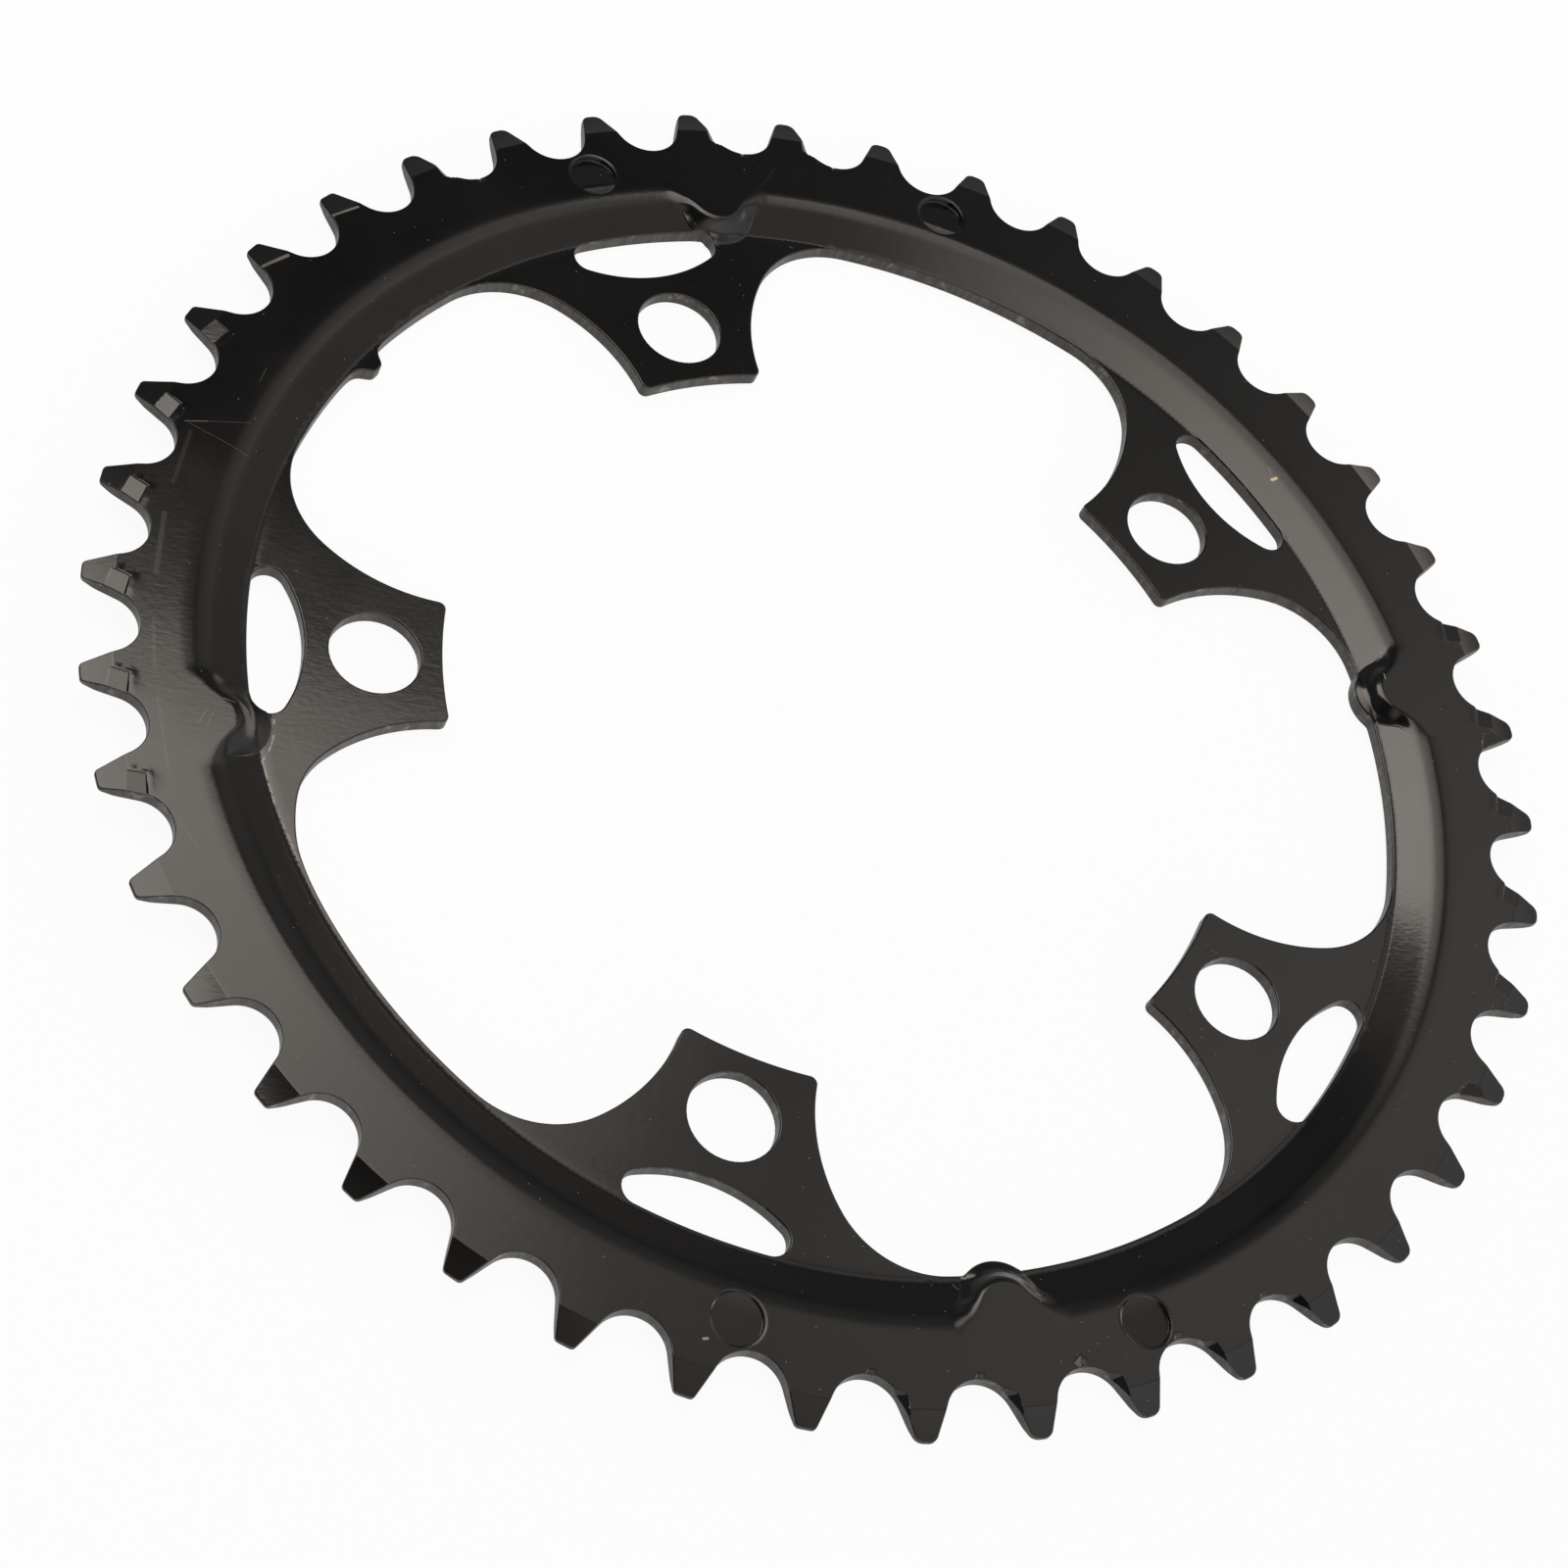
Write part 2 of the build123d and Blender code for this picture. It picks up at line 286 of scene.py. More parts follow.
def span(low, full, fade, high, x):
    """One between full and fade, easing up to it from low and away from it to high."""
    return ease(low, full, x) * (1 - ease(fade, high, x))


def bell(x, middle, half):
    """One at the middle, falling as the exponential of minus the square of the distance in half widths."""
    return np.exp(-((x - middle) / half) ** 2)


def upper(a, b, k):
    """The higher of two heights, with the valley where they cross filled over a span of k."""
    h = np.maximum(k - np.abs(a - b), 0)
    return np.maximum(a, b) + h * h / (4 * k)


def lower(a, b, k):
    """The lower of two heights, with the ridge where they cross rounded over a span of k."""
    return -upper(-a, -b, k)


def seen_from(x, y, angle):
    """Coordinates in the frame of a feature at an angle: u across it, counter-clockwise, and v outward."""
    c, s = np.cos(np.radians(angle)), np.sin(np.radians(angle))
    return y * c - x * s, x * c + y * s


def tooth_frame(x, y):
    """Which tooth a point is on, counted clockwise, and its place there: clockwise across, and outward."""
    r, a = np.hypot(x, y), np.degrees(np.arctan2(y, x))
    n = np.round((TOOTH_AT - a) / STEP)
    d = np.radians(a - TOOTH_AT + n * STEP)
    return n.astype(int) % TEETH, -r * np.sin(d), r * np.cos(d)


def saddle(x, y):
    """The bend the ring has taken: a height that grows with the square of the distance along the line of its
    high ends, and falls with the square of the distance across it."""
    u, v = seen_from(x, y, SADDLE_AT)
    return SADDLE * (v * v - u * u) / SADDLE_R ** 2


def joggle(r):
    """Height of the front along a radius: level tabs with a shallow groove along the foot, a straight slope,
    a bend to a gentler one and a second bend that eases out to the rim's level."""
    first, second = soft(r - FIRST_BEND, FIRST_SOFT), soft(r - SECOND_BEND, SECOND_SOFT)
    climb = FULL_SLOPE * (soft(r - FOOT_R, FOOT_SOFT) - first) + HALF_SLOPE * (first - second)
    climb = climb + LAST_SLOPE * (second - soft(r - LEVEL_FROM, LEVEL_SOFT))
    depth, inside, half = FOOT_GROOVE
    return SHEET + climb - depth * bell(r, FOOT_R - inside, half)


def bevel_start(a):
    """Radius where the front bevel starts at an angle: its usual radius less a cosine of the angle, as it
    was turned off centre, and less a cosine of twice the angle, for the bent ring."""
    (off, off_at), (oval, oval_at) = BEVEL_OFF_CENTRE, BEVEL_OVAL
    return BEVEL_START - off * np.cos(np.radians(a - off_at)) - oval * np.cos(2 * np.radians(a - oval_at))


def tongue_edges(c, s, reach):
    """How far a tongue's crest and foot lie along rays from its middle, c inward and s across: the crest is
    a parabola open outward, the foot a circle; towards the bend the two part, so that the wall runs out into
    the joggle. Gives also how far a ray has turned to the side, from nought at the nose to one."""
    crest = 2 * reach / (c + np.sqrt(c * c + 4 * reach / CREST_FLARE * s * s) + 1e-6)
    aside = ease(*ASIDE, -c)
    set_back = TONGUE_AT - TONGUE_FOOT_AT
    circle = set_back * c + np.sqrt(TONGUE_FOOT_R ** 2 - (set_back * s) ** 2)
    return crest, upper(circle, crest + TONGUE_WALL + WALL_RUN_OUT * aside, FOOT_MEETING), aside


def past_crest(x, y, angle, reach):
    """How far a point lies past a tongue's crest, along the ray from the tongue's middle, how far the foot
    does, and how far the ray has turned aside. Out where there is only rim, no point is past the crest."""
    u, v = seen_from(x, y, angle)
    far = np.hypot(u, v - TONGUE_AT) + 1e-9
    crest, foot, aside = tongue_edges((TONGUE_AT - v) / far, u / far, reach)
    return np.where(v > TONGUE_ENDS, -OUT_OF_REACH, far - crest), foot - crest, aside


def tongue_fall(t, aside):
    """Share of the drop from a tongue's top to the joggle, nought at the crest and one at the foot: a rolled
    shoulder, a steep wall, a gently sloping shelf and a crisp step at the foot; aside, one even slope."""
    shelf = soft(t - SHELF_FROM, SHELF_SOFT)
    run = WALL_STEEP * (soft(t - WALL_FROM, WALL_SOFT) - shelf)
    run = run + SHELF_STEEP * (shelf - soft(t - 1, SHELF_END_SOFT))
    nose = np.clip(run + FOOT_DROP * ease(DROP_FROM, DROP_TO, t), 0, 1)
    return nose + (ease(SIDE_FROM, 1.0, t) - nose) * aside


def shoulder_fill(inside, past):
    """How much the corner between the bend and a tongue's crest is filled: most where a point is as far
    inside the bend as past the crest, and fading away from both."""
    depth = np.maximum(inside + past, 0) / 2
    return SHOULDER_FILL * bell(inside, past, SHOULDER_WIDTH) * bell(depth, 0, SHOULDER_REACH)


def press_buttons(x, y, z):
    """Heights with the half-sheared buttons pressed in: inside each circle a sloping floor, round it a steep
    wall with a slightly drawn-in rim."""
    for angle, depth, outward, across, fold in BUTTONS:
        u, v = seen_from(x, y, angle)
        out = v - BUTTON_AT
        far = np.hypot(u, out)
        floor = depth + outward * out + across * u + fold * soft(-out - FOLD_AT, FOLD_SOFT)
        inside = 1 - ease(BUTTON_R - BUTTON_WALL, BUTTON_R, far)
        drawn = DRAWN_DEPTH * (1 - ease(BUTTON_R, BUTTON_R + DRAWN_WIDTH, far))
        z = z - floor * inside - drawn * (1 - inside)
    return z


def coin_lines(x, y, start, lean, side):
    """Distances on a tooth from a coined flat's long edge and from its inner end, both into the flat."""
    px, py = x - start[0], y - start[1]
    return side * px * np.cos(lean) + py * np.sin(lean), px * np.sin(END_LEAN) + py * np.cos(END_LEAN)


def coin_floor(x, y):
    """Height of the coined flats' floors: a plane falling across the tooth to its flank, with steep walls
    at its long edge and inner end; far above the sheet on teeth that have none."""
    n, tx, ty = tooth_frame(x, y)
    floor = np.full_like(x, OUT_OF_REACH)
    for teeth, start, lean, fall, side in COINS:
        q, w = coin_lines(tx, ty, start, lean, side)
        walls = COIN_WALL_STEEP * (soft(-q, COIN_CORNER) + soft(-w, COIN_CORNER))
        here = FRONT - COIN_DEPTH - fall * side * (tx - start[0]) + walls
        floor = np.where(np.isin(n, teeth), np.minimum(floor, here), floor)
    return floor


def coin_swell(x, y):
    """The metal that coining pushed up beside each wide flat: a low swelling at its inner end and a thin lip
    along its long edge, each a bell across and a span along."""
    teeth, start, lean, _, side = COINS[0]
    n, tx, ty = tooth_frame(x, y)
    q, w = coin_lines(tx, ty, start, lean, side)
    swell = SWELL * bell(w, -0.5, 0.45) * span(-0.9, 0.3, 1.2, 2.8, q)
    lip = LIP * bell(q, -0.2, 0.14) * span(-0.4, 0.1, 0.8, 1.6, w)
    return np.where(np.isin(n, teeth), swell + lip, 0.0)


def front(x, y):
    """Height of the front: the joggle, the tongues that carry the rim's level inward over it, a slightly
    hollow bevel down to the tips, dimples and coined flats, and the saddle on all."""
    r = np.hypot(x - JOGGLE_AT[0], y - JOGGLE_AT[1])
    z = joggle(r)
    for angle, reach in TONGUES:
        past, width, aside = past_crest(x, y, angle, reach)
        fill = shoulder_fill(SHOULDER_FROM - r, past)
        z = z + joggle(r + fill) - joggle(r)
        z = FRONT - (FRONT - z) * tongue_fall((past - fill) / width, aside)
    bevel = soft(np.hypot(x, y) - bevel_start(np.degrees(np.arctan2(y, x))), BEVEL_SOFT)
    z = press_buttons(x, y, z - (BEVEL_SLOPE + BEVEL_CURVE * bevel) * bevel)
    return lower(z + coin_swell(x, y), coin_floor(x, y), COIN_BREAK) + saddle(x, y)


def back(x, y):
    """Height of the back: the joggle again one sheet lower, as one slope with a wide bend at its foot, the
    hollows behind the tongues, the back bevel, the buttons, and the saddle."""
    r = np.hypot(x - JOGGLE_AT[0], y - JOGGLE_AT[1]) - BACK_SHIFT
    z = np.tan(BACK_ANGLE) * (soft(r - FOOT_R, BACK_FOOT_SOFT) - soft(r - BEND_R, BACK_BEND_SOFT))
    for angle, reach in TONGUES:
        past, width, aside = past_crest(x, y, angle, reach)
        z = DISH - (DISH - z) * tongue_fall(past / width * HOLLOW_DRAW + HOLLOW_LEAD, aside)
    bevel = BACK_BEVEL_SLOPE * soft(np.hypot(x, y) - BACK_BEVEL_START, BACK_BEVEL_SOFT)
    return press_buttons(x, y, z + bevel) + saddle(x, y)


def facing(height, x, y):
    """Unit normals of a height over the plan, pointing up, from its change over a short span each way."""
    h = SLOPE_SPAN
    n = np.stack([height(x - h, y) - height(x + h, y),
                  height(x, y - h) - height(x, y + h),
                  np.full_like(x, 2 * h)], 1)
    return n / np.linalg.norm(n, axis=1)[:, None]


def turned_from(a, angle):
    """How far angles lie from one angle, between -180 and 180, in radians."""
    return np.radians((a - angle + 180) % 360 - 180)


def rim_radius(a):
    """The window's edge in its bays: the rim's circle, drawn inward round the feet of two tongues and
    into the small locating nub."""
    r = np.full_like(a, RIM_R)
    for angle, _ in TONGUES[2:]:
        f = turned_from(a, angle)
        chord = TONGUE_FOOT_R ** 2 - (TONGUE_FOOT_AT * np.sin(f)) ** 2
        foot = TONGUE_FOOT_AT * np.cos(f) - np.sqrt(np.maximum(chord, 0))
        r = lower(r, np.where(chord > 0, foot, OUT_OF_REACH), FOOT_FILLET)
    across = np.abs(RIM_R * turned_from(a, NUB_AT))
    return r - NUB_REACH / (1 + (across / NUB_HALF) ** 4)


def arc(centre, radius, start, end, finer=1):
    """Points along an arc from one angle to another, without its last: spaced by length and by turn."""
    steps = max(radius * abs(np.radians(end - start)) / ARC_STEP, abs(end - start) / ARC_TURN)
    count = int(np.ceil(finer * steps))
    t = np.radians(start + (end - start) * np.arange(count) / count)
    return np.stack([centre[0] + radius * np.cos(t), centre[1] + radius * np.sin(t)], 1)


def heading(vector):
    """A plane vector's angle in degrees."""
    return np.degrees(np.arctan2(vector[1], vector[0]))


def meet(radius, centre, reach):
    """Where a circle about the origin crosses a circle about a centre, counter-clockwise of that centre: the
    triangle of the two middles and the crossing gives the angle between them."""
    far = np.hypot(*centre)
    swing = np.degrees(np.arccos((far ** 2 + radius ** 2 - reach ** 2) / (2 * far * radius)))
    t = np.radians(heading(centre) + swing)
    return radius * np.array([np.cos(t), np.sin(t)])


def turn(points, angle):
    """Points drawn about +Y, turned so that +Y lies at an angle."""
    c, s = np.cos(np.radians(angle - 90)), np.sin(np.radians(angle - 90))
    return points @ np.array([[c, s], [-s, c]])


def even(points, count):
    """A dense line thinned to a count of points, evenly by its length and its turning, without its last."""
    step = np.diff(points, axis=0)
    angle = np.unwrap(np.arctan2(step[:, 1], step[:, 0]))
    turning = np.abs(np.diff(angle, append=angle[-1]))
    travel = np.concatenate([[0], np.cumsum(np.hypot(step[:, 0], step[:, 1]) + TURN_LENGTH * turning)])
    at = np.arange(count) / count * travel[-1]
    return np.stack([np.interp(at, travel, points[:, 0]), np.interp(at, travel, points[:, 1])], 1)


def on_circle(r, a):
    """Points at radii r and angles a in degrees."""
    return np.stack([r * np.cos(np.radians(a)), r * np.sin(np.radians(a))], 1)


def tooth_half(rounding):
    """From the middle of a gap on +Y to the middle of the tooth clockwise of it: the roller seat's arc, the
    straight flank, a corner arc tangent to flank and tip circle, and the tip's arc."""
    along, into = np.array([np.sin(FLANK), np.cos(FLANK)]), np.array([np.cos(FLANK), -np.sin(FLANK)])
    foot = np.array([0, PITCH_R]) + SEAT_R * into
    base = foot + rounding * into
    lift = base @ along
    run = -lift + np.sqrt(lift ** 2 - base @ base + (TIP_R - rounding) ** 2)
    corner = base + run * along
    t = np.linspace(0, 1, 200)[:-1, None]
    return np.concatenate([
        arc((0, PITCH_R), SEAT_R, -90, heading(into), DENSE),
        foot + t * run * along,
        arc(corner, rounding, heading(-into), heading(corner), DENSE),
        arc((0, 0), TIP_R, heading(corner), 90 - STEP / 2, DENSE),
    ])


def tooth_loop():
    """The toothed outline, counter-clockwise: a tooth with a round tip and one with a crisp tip, each drawn
    finely and thinned evenly, then repeated round the ring."""
    kinds = []
    for rounding in (TIP_ROUND, CRISP_ROUND):
        left = turn(tooth_half(rounding), 90 + STEP / 2)
        kinds.append(even(np.concatenate([left * [-1, 1], [[0, TIP_R]], left[::-1]]), TOOTH_POINTS))
    crisp = [int(-n % TEETH in CRISP_TIPS) for n in range(TEETH)]
    return np.concatenate([turn(kinds[kind], TOOTH_AT + n * STEP) for n, kind in enumerate(crisp)])


def tab_half():
    """Half of a tab's outline on +Y, from the middle of its end to the rim: the end's arc, a small corner,
    the hollow side and the wide blend, each an arc tangent to the next. Gives also the angle it takes up."""
    corner = meet(TAB_END_R + TAB_CORNER, SIDE_AT, SIDE_R + TAB_CORNER)
    blend = meet(RIM_R - BLEND_R, SIDE_AT, SIDE_R - BLEND_R)
    side_end = heading(blend - SIDE_AT)
    return np.concatenate([
        arc((0, 0), TAB_END_R, 90, heading(corner)),
        arc(corner, TAB_CORNER, heading(corner) - 180, heading(SIDE_AT - corner)),
        arc(SIDE_AT, SIDE_R, heading(corner - SIDE_AT) % 360, side_end),
        arc(blend, BLEND_R, side_end, heading(blend)),
    ]), 90 - heading(blend)


def window_loop():
    """The window's edge, clockwise: round each tab and along each bay of the rim to the next, and drawn in
    by a bell curve over the angle at the one fuller blend."""
    half_tab, reach = tab_half()
    tab = np.concatenate([half_tab[1:][::-1] * [-1, 1], half_tab])
    pieces = []
    for n in range(BOLTS):
        angle = FIRST_TAB - n * TAB_STEP
        a = angle - reach - (TAB_STEP - 2 * reach) * np.linspace(0, 1, 3001)
        r = rim_radius(a)
        bay = on_circle(r, a)
        count = SHAPED_BAY_POINTS if np.ptp(r) > 0.1 else PLAIN_BAY_POINTS
        pieces += [turn(tab, angle), even(bay, count), bay[-1:]]
    loop = np.concatenate(pieces)
    angle, half, amount = FULL_BLEND
    drawn = amount * bell(np.degrees(np.arctan2(loop[:, 1], loop[:, 0])), angle, half)
    return loop * (1 - drawn / np.hypot(loop[:, 0], loop[:, 1]))[:, None]


def slot_loop(angle):
    """A lens slot, clockwise: an arc along the rim, an arc bowed inward, and two round corners."""
    corner = meet(SLOT_OUTER_R - SLOT_CORNER, SLOT_ARC_AT, SLOT_ARC_R - SLOT_CORNER) * [-1, 1]
    top, low = heading(corner), heading(corner - SLOT_ARC_AT)
    return turn(np.concatenate([
        arc((0, 0), SLOT_OUTER_R, 180 - top, top),
        arc(corner, SLOT_CORNER, top, low),
        arc(SLOT_ARC_AT, SLOT_ARC_R, low, -180 - low),
        arc(corner * [-1, 1], SLOT_CORNER, -180 - low, -180 - top),
    ]), angle)


def bolt_loop(angle):
    """A bolt hole, clockwise: a circle."""
    return turn(arc((0, BOLT_AT), BOLT_R, 360, 0), angle)


def edge_loops():
    """All the punched edges as one array of points, with the index of each point's next one, the normal
    that points into the sheet, and the front roll of each point. The sheet is always on the left."""
    tabs = FIRST_TAB + TAB_STEP * np.arange(BOLTS)
    loops = [tooth_loop(), window_loop()] + [slot_loop(t) for t in tabs] + [bolt_loop(t) for t in tabs]
    rolls = [TOOTH_ROLL] + [PUNCH_ROLL] * (len(loops) - 1)
    after, normals, start = [], [], 0
    for loop in loops:
        along = np.roll(loop, -1, 0) - np.roll(loop, 1, 0)
        along /= np.linalg.norm(along, axis=1)[:, None]
        normals.append(np.stack([-along[:, 1], along[:, 0]], 1))
        after.append(start + np.roll(np.arange(len(loop)), -1))
        start += len(loop)
    roll = np.repeat(rolls, [len(loop) for loop in loops])
    return np.concatenate(loops), np.concatenate(after), np.concatenate(normals), roll


def ring_lattice(radii, spacing, centre=(0, 0)):
    """Points on circles about a centre, each circle turned half a step from the one before."""
    rings = []
    for i, r in enumerate(radii):
        count = int(2 * np.pi * r / spacing)
        rings.append(on_circle(r, 360 * (np.arange(count) + 0.5 * (i % 2)) / count) + centre)
    return np.concatenate(rings)


def bevel_lattice(offsets, spacing):
    """Points in close lines along the start of the front bevel."""
    lines = []
    for i, off in enumerate(offsets):
        a = 360 * np.arange(0.5 * (i % 2), 1, spacing / (2 * np.pi * BEVEL_START))
        lines.append(on_circle(bevel_start(a) + off, a))
    return np.concatenate(lines)


def tongue_lattice(shares, spacing):
    """Points along lines of equal share of the way from crest to foot, round each tongue from its nose to
    where its sides reach the bend, on an odd number of rays."""
    beta = np.radians(np.linspace(-TONGUE_SWEEP, TONGUE_SWEEP, int(TONGUE_LINE / spacing) | 1))
    c, s = np.cos(beta), np.sin(beta)
    sets = []
    for angle, reach in TONGUES:
        crest, foot, _ = tongue_edges(c, s, reach)
        far = [crest + share * (foot - crest) for share in shares]
        sets.append(turn(np.concatenate([np.stack([-d * s, TONGUE_AT - d * c], 1) for d in far]), angle))
    return np.concatenate(sets)


def button_lattice(radii, spacing):
    """Circles of points round each button's centre."""
    one = ring_lattice(radii, spacing, (0, BUTTON_AT))
    return np.concatenate([turn(one, button[0]) for button in BUTTONS])


def coin_lattice():
    """Points on every coined flat: close lines along its two walls, and a grid over its floor and the bevel
    beside it."""
    along, inward = np.arange(-0.1, 4.2, 0.14), np.arange(0.1, 3.2, 0.14)
    across, out = np.meshgrid(np.arange(-0.7, 2.7, 0.17), np.arange(-0.9, 4.0, 0.17))
    sets = []
    for teeth, start, lean, _, side in COINS:
        lines = []
        for off in (-0.2, -0.11, -0.05, 0.0, 0.05, 0.12):
            lines.append(np.stack([start[0] + side * (off * np.cos(lean) - along * np.sin(lean)),
                                   start[1] + off * np.sin(lean) + along * np.cos(lean)], 1))
            lines.append(np.stack([start[0] + side * inward * np.cos(END_LEAN) + off * np.sin(END_LEAN),
                                   start[1] - side * inward * np.sin(END_LEAN) + off * np.cos(END_LEAN)], 1))
        walls = np.concatenate(lines)
        grid = np.stack([start[0] + side * across.ravel(), start[1] + out.ravel()], 1)
        one = np.concatenate([walls, clear_of(grid, walls, 0.1)])
        sets += [turn(one, TOOTH_AT - n * STEP) for n in teeth]
    return np.concatenate(sets)


def clear_of(points, others, gap):
    """The points that stand about a gap clear of the others: both lie on a square grid of that size, and
    a point stays where none of the others is in its own cell or the eight cells round it."""
    def cell(p):
        return np.floor(p / gap).astype(np.int64) @ np.array([1, 1000003])
    taken = np.concatenate([cell(others + gap * np.array([i, j])) for i in (-1, 0, 1) for j in (-1, 0, 1)])
    return points[~np.isin(cell(points), taken)]


def front_lattice(edge):
    """The front's points inside its edge: close lines on the tongues, the buttons, the coined flats, the
    start of the bevel and the joggle's bends, and open rings elsewhere, clear of the edge and closer lines."""
    tongues = tongue_lattice([-0.5, -0.35, -0.2, -0.12, -0.05, 0.02, 0.09, 0.16, 0.25, 0.34, 0.42, 0.5, 0.57,
                              0.64, 0.72, 0.82, 0.9, 0.96, 0.985, 1.0, 1.02, 1.045, 1.09], 0.24)
    dents = button_lattice([0.5, 1.1, 1.7, 2.2, 2.55, 2.74, 2.81, 2.84, 2.87, 2.9, 2.93, 2.96, 3.02, 3.1,
                            3.2, 3.32], 0.3)
    local = np.concatenate([clear_of(tongues, edge, 0.14), clear_of(dents, edge, 0.14),
                            clear_of(coin_lattice(), edge, 0.08)])
    bevel = bevel_lattice((-0.16, -0.09, -0.03, 0.03, 0.09, 0.16), 0.24)
    taken = np.concatenate([local, clear_of(bevel, np.concatenate([edge, local]), 0.1)])
    slope = np.concatenate([FOOT_R + np.array([-0.9, -0.65, -0.45, -0.25, -0.12, -0.04, 0.04, 0.12, 0.2]),
                            np.arange(FOOT_R + 0.6, FIRST_BEND - 0.4, 0.6),
                            FIRST_BEND + np.arange(-0.32, 0.33, 0.16),
                            SECOND_BEND + np.arange(-0.6, 0.61, 0.17),
                            LEVEL_FROM + np.arange(-0.6, 0.61, 0.3)])
    flat = np.concatenate([np.arange(46, 68.6, 1.1), np.arange(LEVEL_FROM + 1.1, BEVEL_START - 0.3, 0.9),
                           np.arange(BEVEL_START + 0.5, TIP_R, 0.6)])
    rings = np.concatenate([ring_lattice(slope, 0.66, JOGGLE_AT), ring_lattice(flat, 1.0)])
    return np.concatenate([taken, clear_of(clear_of(rings, edge, 0.26), taken, 0.2)])


def back_lattice(edge):
    """The back's points inside its edge: close lines in the hollows, on the buttons, at the joggle's bends
    and the tips' bevel, and open rings elsewhere, kept clear of the edge and of the hollows and buttons."""
    hollows = tongue_lattice(np.arange(-0.7, 0.9, 0.12), 0.5)
    studs = button_lattice([0.8, 1.6, 2.3, 2.6, 2.76, 2.82, 2.86, 2.9, 2.96, 3.1, 3.3], 0.5)
    local = clear_of(np.concatenate([hollows, studs]), edge, 0.2)
    foot, bend = FOOT_R + BACK_SHIFT, BEND_R + BACK_SHIFT
    bends = np.concatenate([foot + np.arange(-0.6, 0.61, 0.3), bend + np.arange(-0.3, 0.31, 0.15)])
    slope = np.arange(foot + 1.3, bend - 0.8, 0.9)
    flat = np.concatenate([np.arange(46, 68.6, 1.5), np.arange(BEND_R + 1.7, BACK_BEVEL_START - 0.6, 1.2)])
    tips = BACK_BEVEL_START + np.array([-0.25, 0, 0.25, 0.8])
    rings = np.concatenate([ring_lattice(bends, 0.5, JOGGLE_AT), ring_lattice(slope, 1.2, JOGGLE_AT),
                            ring_lattice(flat, 1.3), ring_lattice(tips, 0.5)])
    return np.concatenate([local, clear_of(clear_of(rings, edge, 0.4), local, 0.35)])


def in_sheet(points, edge, after):
    """Whether each point lies in the sheet: a ray from it along +X crosses the edges an odd number of times.
    Worked out in blocks of about 1500 points, to keep the arrays small."""
    (x0, y0), (x1, y1) = edge.T, edge[after].T
    slope = (x1 - x0) / np.where(y1 == y0, 1e-12, y1 - y0)
    found = []
    for block in np.array_split(points, max(1, len(points) // 1500)):
        y = block[:, 1:2]
        spans = (y0 > y) != (y1 > y)
        found.append((spans & (x0 + (y - y0) * slope > block[:, :1])).sum(1) % 2 == 1)
    return np.concatenate(found)


def trimmed_face(edge, after, lattice):
    """Triangles that fill the sheet's plan between its edges: the edge points and the lattice's points in
    the sheet are triangulated with the edges as fixed lines, and the triangles across openings left out."""
    lattice = lattice[in_sheet(lattice, edge, after)]
    points = np.concatenate([edge, lattice])
    lines = np.stack([np.arange(len(edge)), after], 1)
    triangles = np.array(delaunay_2d_cdt(points.tolist(), lines.tolist(), [], 0, 1e-6)[2])
    keep = (triangles >= len(edge)).any(1)
    keep[~keep] = in_sheet(points[triangles[~keep]].mean(1), edge, after)
    return points, triangles[keep]


def edge_rows(edge, into, roll):
    """The punched edges' profile carried along their lines: a quarter roll at the front, the cut wall, and a
    smaller quarter roll at the back. Gives for each row its plan, heights, normals and share of bare cut."""
    wall = np.column_stack([-into, np.zeros(len(into))])

    def lean(flat, phi):
        n = np.cos(phi) * flat + np.sin(phi) * wall
        return n / np.linalg.norm(n, axis=1)[:, None]

    rows = []
    for degrees, bare in FRONT_ROLL_ROWS:
        phi = np.radians(degrees)
        out = edge + into * (roll * (1 - np.sin(phi)))[:, None]
        rows.append((out, front(*out.T) - roll * (1 - np.cos(phi)), lean(facing(front, *out.T), phi), bare))
    high, low = rows[-1][1], back(*edge.T) + BACK_ROLL
    for share, bare in WALL_ROWS:
        rows.append((edge, high + (low - high) * share, wall, bare))
    for degrees, bare in BACK_ROLL_ROWS:
        phi = np.radians(degrees)
        out = edge + into * (BACK_ROLL * (1 - np.sin(phi)))
        rise_in = BACK_ROLL * (1 - np.cos(phi))
        rows.append((out, back(*out.T) + rise_in, lean(-facing(back, *out.T), phi), bare))
    return rows


def ring_mesh():
    """The ring's closed surface: a front and a back, each a height over the trimmed plan, joined by the
    rolled edge strips between them. Gives its points, triangles and normals, where it is bare cut and where
    front."""
    edge, after, into, roll = edge_loops()
    rows = edge_rows(edge, into, roll)
    front_edge, back_edge, middle = rows[0][0], rows[-1][0], rows[1:-1]
    front_plan, front_faces = trimmed_face(front_edge, after, front_lattice(front_edge))
    back_plan, back_faces = trimmed_face(back_edge, after, back_lattice(back_edge))

    n, f, b = len(edge), len(front_plan), len(back_plan)
    plans, heights, facings, bare = zip(*middle)
    plan = np.concatenate([front_plan, back_plan, *plans])
    height = np.concatenate([front(*front_plan.T), back(*back_plan.T), *heights])
    normals = np.concatenate([facing(front, *front_plan.T), -facing(back, *back_plan.T), *facings])
    cut = np.concatenate([np.zeros(f + b), np.repeat(bare, n)])
    shown = np.concatenate([np.ones(f), np.zeros(b + n * len(middle))])

    own = np.arange(n)
    levels = [own] + [f + b + i * n + own for i in range(len(middle))] + [f + own]
    faces = [front_faces, f + back_faces[:, ::-1]]
    for top, low in zip(levels, levels[1:]):
        faces.append(np.stack([top, low, low[after]], 1))
        faces.append(np.stack([top, low[after], top[after]], 1))
    return np.column_stack([plan, height]) * MM, np.concatenate(faces), normals, {"cut": cut, "front": shown}


